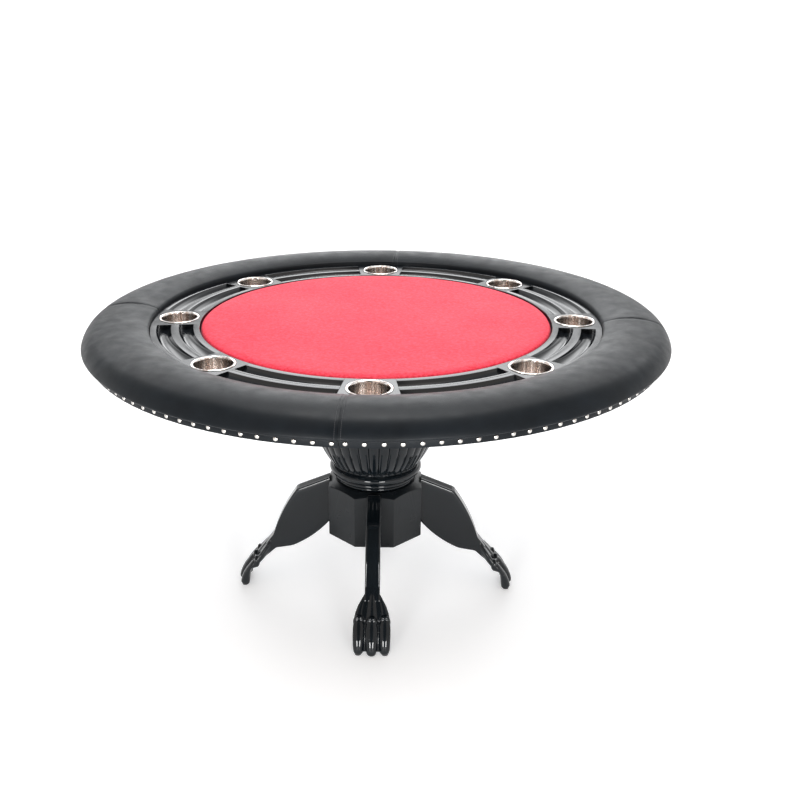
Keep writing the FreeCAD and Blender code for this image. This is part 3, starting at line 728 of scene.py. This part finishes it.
def make_nails():
    """Dome-headed nails around the band, each a little off true."""
    wander = random.Random(11)
    # The dome's radius and height at each ring, in millimetres
    head = [(4.75, -0.2), (4.9, 0.25), (4.7, 0.8), (4.0, 1.55), (2.9, 2.1), (1.5, 2.42)]
    segments = 20
    vertices, faces = [], []
    for angle in nail_angles():
        out = around(1, angle)
        along = Vector((-out.y, out.x, 0))
        tilt = Vector((wander.uniform(-1, 1), wander.uniform(-1, 1))) * 0.05
        level = NAIL_LEVEL + wander.uniform(-0.5, 0.5) * MM
        centre = out * (BAND_RADIUS - 0.5 * MM) + Vector((0, 0, level))
        base = len(vertices)
        for radius, lift in head:
            for corner in range(segments):
                turn = corner * TAU / segments
                side, up = radius * math.cos(turn), radius * math.sin(turn)
                raised = lift + side * tilt.x + up * tilt.y
                vertices.append(centre + (along * side + Vector((0, 0, up)) + out * raised) * MM)
        vertices.append(centre + out * 2.5 * MM)
        faces += skin(len(head), segments, base)
        last = base + (len(head) - 1) * segments
        for corner in range(segments):
            faces.append((last + corner, last + (corner + 1) % segments, len(vertices) - 1))
        faces.append(tuple(base + corner for corner in range(segments)))
    nails = new_piece("nail_domes", vertices, faces, "nickel", crease=60)
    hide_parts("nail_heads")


# ------------------------------------------------------------- the column

REEDS = 38
BELLY_RADIUS, BELLY_Z = 168 * MM, 566 * MM


def urn_outline():
    """The urn's outer line from foot to cap."""
    foot = Vector((108 * MM, URN_LOW))
    bowl = [foot] + arc_points(foot, (BELLY_RADIUS, BELLY_Z), 300 * MM, 90)
    neck = (106 * MM, 618 * MM)
    shoulder = arc_points(bowl[-1], neck, 62 * MM, 26)
    cove = arc_points(neck, (134 * MM, 640 * MM), -22 * MM, 12)
    lip = arc_points((134 * MM, 640 * MM), (150 * MM, URN_TOP - 6 * MM), 16 * MM, 8)
    return bowl, shoulder + cove + lip + [Vector((150 * MM, URN_TOP))]


def reed_height(around_share, up_share_low, up_share_high):
    """Height, 0 to 1, of a reed with rounded ends; the shares are -1 to 1 across
    it and the distances from its two ends in half widths."""
    reach = max(0.0, 1 - up_share_low, 1 - up_share_high)
    distance = math.hypot(around_share, reach)
    return math.sqrt(max(0.0, 1 - min(distance, 1.0) ** 3))


def make_urn():
    """The urn, with convex reeds standing in a sunk field around the bowl."""
    bowl, upper = urn_outline()
    steps = 16
    columns = REEDS * steps
    field_low, field_high = 7 * MM, 176 * MM
    depth, margin, ramp = 4.8 * MM, 5 * MM, 4 * MM
    vertices = []
    lengths = run_lengths(bowl)
    line = bowl + upper
    for index, (radius, level) in enumerate(line):
        for column in range(columns):
            reed, step = divmod(column, steps)
            across = math.sin(math.pi * (step / steps - 0.5))
            angle = FRONT + TAU * (reed + across / 2) / REEDS
            sunk = 0.0
            if index < len(bowl):
                half = math.pi * radius / REEDS
                low = (lengths[index] - field_low) / half
                high = (field_high - lengths[index]) / half
                inside = min(1.0, max(0.0, (lengths[index] - field_low + margin) / ramp))
                inside *= min(1.0, max(0.0, (field_high + margin - lengths[index]) / ramp))
                sunk = depth * inside * (1 - reed_height(across, low, high))
            reach = radius - sunk
            vertices.append((reach * math.cos(angle), reach * math.sin(angle), level))
    faces = skin(len(line), columns) + end_caps(len(line), columns)
    urn = new_piece("urn_reeded", vertices, faces, "gloss_lacquer", crease=55)
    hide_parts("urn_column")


def make_collar():
    """Three stacked beads with quirks between them."""
    start = Vector((0, COLLAR_LOW))
    points = [start, Vector((96 * MM, COLLAR_LOW))]
    points += arc_points(points[-1], (97 * MM, 316 * MM), 4.4 * MM, 10)
    points.append(Vector((101 * MM, 316.6 * MM)))
    points += arc_points(points[-1], (102 * MM, 329 * MM), 6.6 * MM, 12)
    points.append(Vector((108 * MM, 329.6 * MM)))
    points += arc_points(points[-1], (109.5 * MM, COLLAR_TOP - 0.2 * MM), 11.6 * MM, 18)
    points.append(Vector((0, COLLAR_TOP - 0.2 * MM)))
    collar = turned_piece("collar_beads", [tuple(p) for p in points], 192, "gloss_lacquer",
                          crease=45)
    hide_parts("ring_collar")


# ---------------------------------------------------------------- the legs

def loft(ribs, shift=0.0, power=2.6, sides=28, setback=0.0):
    """A closed loft in a leg's plane, in millimetres. A rib is (upper point,
    lower point, half width[, lane]); power squares the corners of the sections,
    and a lane moves one rib sideways."""
    vertices = []
    for upper, lower, wide, *lane in ribs:
        upper, lower = Vector((upper[0], 0, upper[1])), Vector((lower[0], 0, lower[1]))
        sideways = Vector((-setback, lane[0] if lane else shift, 0))
        centre = (upper + lower) / 2 + sideways
        reach = (upper - lower) / 2
        for side in range(sides):
            turn = (side + 0.5) * TAU / sides
            cos, sin = math.cos(turn), math.sin(turn)
            across = math.copysign(abs(cos) ** (2 / power), cos) * wide
            out = math.copysign(abs(sin) ** (2 / power), sin)
            vertices.append((centre + Vector((0, across, 0)) + reach * out) * MM)
    first, last = end_caps(len(ribs), sides)
    return vertices, skin(len(ribs), sides) + [first[::-1], last]


def along(line, share):
    """The point at a share of a polyline's length."""
    lengths = [(two - one).length for one, two in zip(line, line[1:])]
    left = share * sum(lengths)
    for index, length in enumerate(lengths):
        if left <= length:
            return line[index].lerp(line[index + 1], left / length)
        left -= length
    return line[-1]


def bar_ribs():
    """The sawn bar from the hub over the knee to the ankle."""
    over = [Vector((111, 310.5)), Vector((203, 273))]
    over += arc_points(over[-1], (268, 140), -420, 14) + [Vector((288, 113))]
    under = [Vector((111, 190)), Vector((118, 185))]
    under += arc_points(under[-1], (219, 108), 260, 10)
    under += [Vector((262, 101)), Vector((298, 67))]
    count = 36
    half_width = 18.3
    return [(along(over, i / count), along(under, i / count), half_width)
            for i in range(count + 1)]


# Ribs of the carved foot, in millimetres in the leg's plane: the upper point, the
# lower point, the half width and, on a tendon, its share of the way to its toe
PALM = (
    ((258, 152), (256, 104), 14), ((268, 137), (266, 98), 17.4), ((276, 127), (276, 89), 19.5),
    ((285, 115), (286, 79), 27), ((293, 104.5), (294, 71), 35.5), ((301, 94), (303, 62), 41),
    ((308, 84.5), (312, 54), 43.5), ((314, 76), (322, 52), 43.5), ((318, 67), (328, 52), 41),
)
TENDON = (
    ((262, 142), (262, 120), 4.5, 0.22), ((272, 132.5), (272, 108), 6, 0.3),
    ((283, 120.5), (283, 98), 8, 0.55), ((294, 107), (294, 84), 10, 0.8),
    ((303, 95.5), (304, 72), 11.5, 0.93), ((311, 85), (313, 64), 12, 1.0),
    ((316, 77), (320, 58), 11, 1.0),
)
TOE = (
    ((310, 80), (309, 62), 10), ((313, 86), (311, 56), 12.6), ((318.5, 85.5), (314, 53), 13.8),
    ((321.5, 83), (317, 51.8), 13.8), ((323, 76.6), (320.5, 51.2), 13.1),
    ((326, 74), (324, 50.5), 13.7),
    ((332, 67.5), (329, 49), 14.2), ((339.5, 58), (332, 44), 14.2),
    ((346.5, 48.3), (333.5, 37), 14.2), ((352.5, 37.5), (335, 28), 14),
    ((357.5, 25.5), (336, 19), 13.6), ((360.5, 15), (337, 10), 12.8),
    ((361, 8), (338.5, 4), 11.4), ((357.5, 2), (341, 1), 8.5),
)
WEB = (
    ((312, 74), (312, 56), 42), ((322, 66), (322, 51), 43), ((331, 55), (330, 46), 42),
    ((338.5, 42), (333, 36), 40), ((344, 28), (335, 24), 38), ((346.5, 16), (336.5, 13), 36),
    ((347, 8), (338, 6), 34),
)
# From the middle of the foot to the middle of an outer toe
LANE = 31.2


def leg_lofts():
    """The overlapping lofts that a carved leg is blended from."""
    lofts = [loft(bar_ribs(), power=14, sides=72), loft(PALM, power=3, sides=44),
             loft(WEB, power=4, sides=44)]
    # The middle toe reaches a little further than the outer two
    for lane, setback in ((-1, 5), (0, -1.5), (1, 5)):
        tendon = [(upper, lower, wide, lane * LANE * share)
                  for upper, lower, wide, share in TENDON]
        lofts.append(loft(tendon, power=2.2, sides=20, setback=setback * 0.5))
        lofts.append(loft(TOE, lane * LANE, 2.1, 28, setback))
    return lofts


def carved_leg_mesh():
    """Blend the lofts into one skin and flatten its hub face and sole."""
    work = bmesh.new()
    for vertices, faces in leg_lofts():
        made = [work.verts.new(vertex) for vertex in vertices]
        for face in faces:
            work.faces.new([made[index] for index in face])
    bmesh.ops.recalc_face_normals(work, faces=work.faces)
    rough = bpy.data.meshes.new("leg_rough")
    work.to_mesh(rough)
    work.free()
    block = bpy.data.objects.new("leg_rough", rough)
    bpy.context.scene.collection.objects.link(block)
    remesh = block.modifiers.new("blend", "REMESH")
    remesh.mode = "VOXEL"
    remesh.voxel_size = 1.3 * MM
    soften = block.modifiers.new("soften", "SMOOTH")
    soften.factor = 0.5
    soften.iterations = 2
    graph = bpy.context.evaluated_depsgraph_get()
    leg = bpy.data.meshes.new_from_object(block.evaluated_get(graph))
    bpy.data.objects.remove(block)
    for vertex in leg.vertices:
        vertex.co.x = max(vertex.co.x, HUB_APOTHEM - 0.3 * MM)
        vertex.co.z = max(vertex.co.z, SOLE)
    return leg


def make_legs():
    """The same carved leg on each of the four sides."""
    leg = carved_leg_mesh()
    for name, azimuth in LEG_AZIMUTHS.items():
        mesh = leg.copy()
        mesh.transform(Matrix.Rotation(math.radians(azimuth), 4, "Z"))
        piece = finish_piece(f"leg_{name}_carved", mesh, "gloss_lacquer", crease=60)
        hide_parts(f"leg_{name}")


# ------------------------------------------------- floor, light and camera

def make_stage():
    """A plain pale floor, with a faint glow for the light that a studio returns."""
    made, shader = material("studio_floor")
    link(made, tint(made, speckle(made, 0.6, 2), (0.91, 0.915, 0.93), (0.95, 0.955, 0.97)),
         shader, "Base Color")
    shader.inputs["Roughness"].default_value = 0.55
    shader.inputs["Emission Color"].default_value = (1, 1, 1, 1)
    shader.inputs["Emission Strength"].default_value = 0.28
    reach = 150.0
    mesh = bpy.data.meshes.new("floor")
    mesh.from_pydata([(-reach, -reach, 0), (reach, -reach, 0), (reach, reach, 0),
                      (-reach, reach, 0)], [], [(0, 1, 2, 3)])
    mesh.materials.append(made)
    floor = bpy.data.objects.new("floor", mesh)
    bpy.context.scene.collection.objects.link(floor)


def area_light(name, place, aim, size, radiance):
    """A one-sided light panel of an even radiance."""
    lamp = bpy.data.lights.new(name, "AREA")
    lamp.shape = "RECTANGLE"
    lamp.size, lamp.size_y = size
    lamp.energy = radiance * math.pi * size[0] * size[1]
    holder = bpy.data.objects.new(name, lamp)
    holder.location = place
    holder.rotation_euler = (Vector(aim) - Vector(place)).to_track_quat("-Z", "Y").to_euler()
    bpy.context.scene.collection.objects.link(holder)


def make_light():
    """A white cyclorama behind and beside the table, a bright top, and a dim warm
    room on the camera's side with two softboxes in it."""
    world = bpy.data.worlds.new("studio")
    bpy.context.scene.world = world
    world.use_nodes = True
    toward = node(world, "ShaderNodeTexCoord").outputs["Generated"]
    split = node(world, "ShaderNodeSeparateXYZ", {"Vector": toward})

    def step(value, start, end, low, high):
        """A soft step from one level to another as a value grows."""
        inputs = {"Value": value, "From Min": start, "From Max": end,
                  "To Min": low, "To Max": high}
        ramp = node(world, "ShaderNodeMapRange", inputs, interpolation_type="SMOOTHSTEP")
        return ramp.outputs["Result"]

    def total(one, two):
        """The sum of two factors."""
        return node(world, "ShaderNodeMath", {0: one, 1: two}).outputs["Value"]

    def product(one, two):
        """The product of two factors."""
        return node(world, "ShaderNodeMath", {0: one, 1: two},
                    operation="MULTIPLY").outputs["Value"]

    ahead, up = split.outputs["Y"], split.outputs["Z"]
    aside = node(world, "ShaderNodeMath", {0: split.outputs["X"]},
                 operation="ABSOLUTE").outputs["Value"]
    behind = step(ahead, -0.25, 0.15, 0, 1)
    low_glow = step(up, 0.2, 0.27, 1.7, 0)
    backdrop = total(step(up, 0.29, 0.36, 0, 2.8), step(up, 0.48, 0.64, 0, -2.8))
    glow = total(product(low_glow, step(aside, 0.08, 0.25, 1, 0.4)),
                 product(backdrop, step(aside, 0.4, 0.7, 1, 0.2)))
    wall = total(step(aside, 0.1, 0.3, 1.2, 0.5), glow)
    room = total(step(aside, 0.16, 0.34, 0.1, 0.85), step(up, 0.78, 0.93, 0, 0.8))
    strength = node(world, "ShaderNodeMix", {0: behind, 2: room, 3: wall}).outputs[0]
    colour = node(world, "ShaderNodeMix", {0: behind, 6: (1.0, 0.93, 0.87, 1),
                                          7: (0.98, 0.99, 1.0, 1)}, data_type="RGBA")
    sky = world.node_tree.nodes["Background"]
    # The camera itself sees plain white past the floor, whichever way it faces
    seen = node(world, "ShaderNodeLightPath").outputs["Is Camera Ray"]
    shown = node(world, "ShaderNodeMix", {0: seen, 2: strength, 3: 1.0}).outputs[0]
    hue = node(world, "ShaderNodeMix", {0: seen, 6: colour.outputs[2], 7: (1, 1, 1, 1)},
               data_type="RGBA").outputs[2]
    link(world, hue, sky, "Color")
    link(world, shown, sky, "Strength")
    for name, azimuth in (("softbox_left", -107), ("softbox_right", -73)):
        spot = around(3.3, math.radians(azimuth)) + Vector((0, 0, 0.68))
        area_light(name, spot, (0, 0, 0.4), (0.75, 0.8), 24.0)
    area_light("overhead", (0, 0.35, 3.3), (0, 0.1, 0.7), (1.9, 1.5), 6.5)
    bpy.context.scene.view_settings.view_transform = "Standard"


def make_camera():
    """The camera stands in front of the table, a little to its right."""
    pitch, yaw = 0.377, math.radians(1.81)
    lens = bpy.data.cameras.new("view")
    lens.sensor_width = 36.0
    lens.lens = 48.28
    lens.shift_x = 0.0365
    lens.shift_y = 0.0111
    lens.clip_end = 400
    camera = bpy.data.objects.new("view", lens)
    place = Matrix.Rotation(yaw, 4, "Z") @ Vector((-0.0122, -2.5061, 1.4843))
    camera.location = place
    camera.rotation_euler = (math.pi / 2 - pitch, 0, yaw)
    bpy.context.scene.collection.objects.link(camera)
    bpy.context.scene.camera = camera


make_camera()
make_stage()
make_light()
dress_nodes()
make_chip_trays()
make_cup_holders()
make_card_cloth()
make_foam()
make_rail()
make_trim_band()
make_nails()
make_urn()
make_collar()
make_legs()
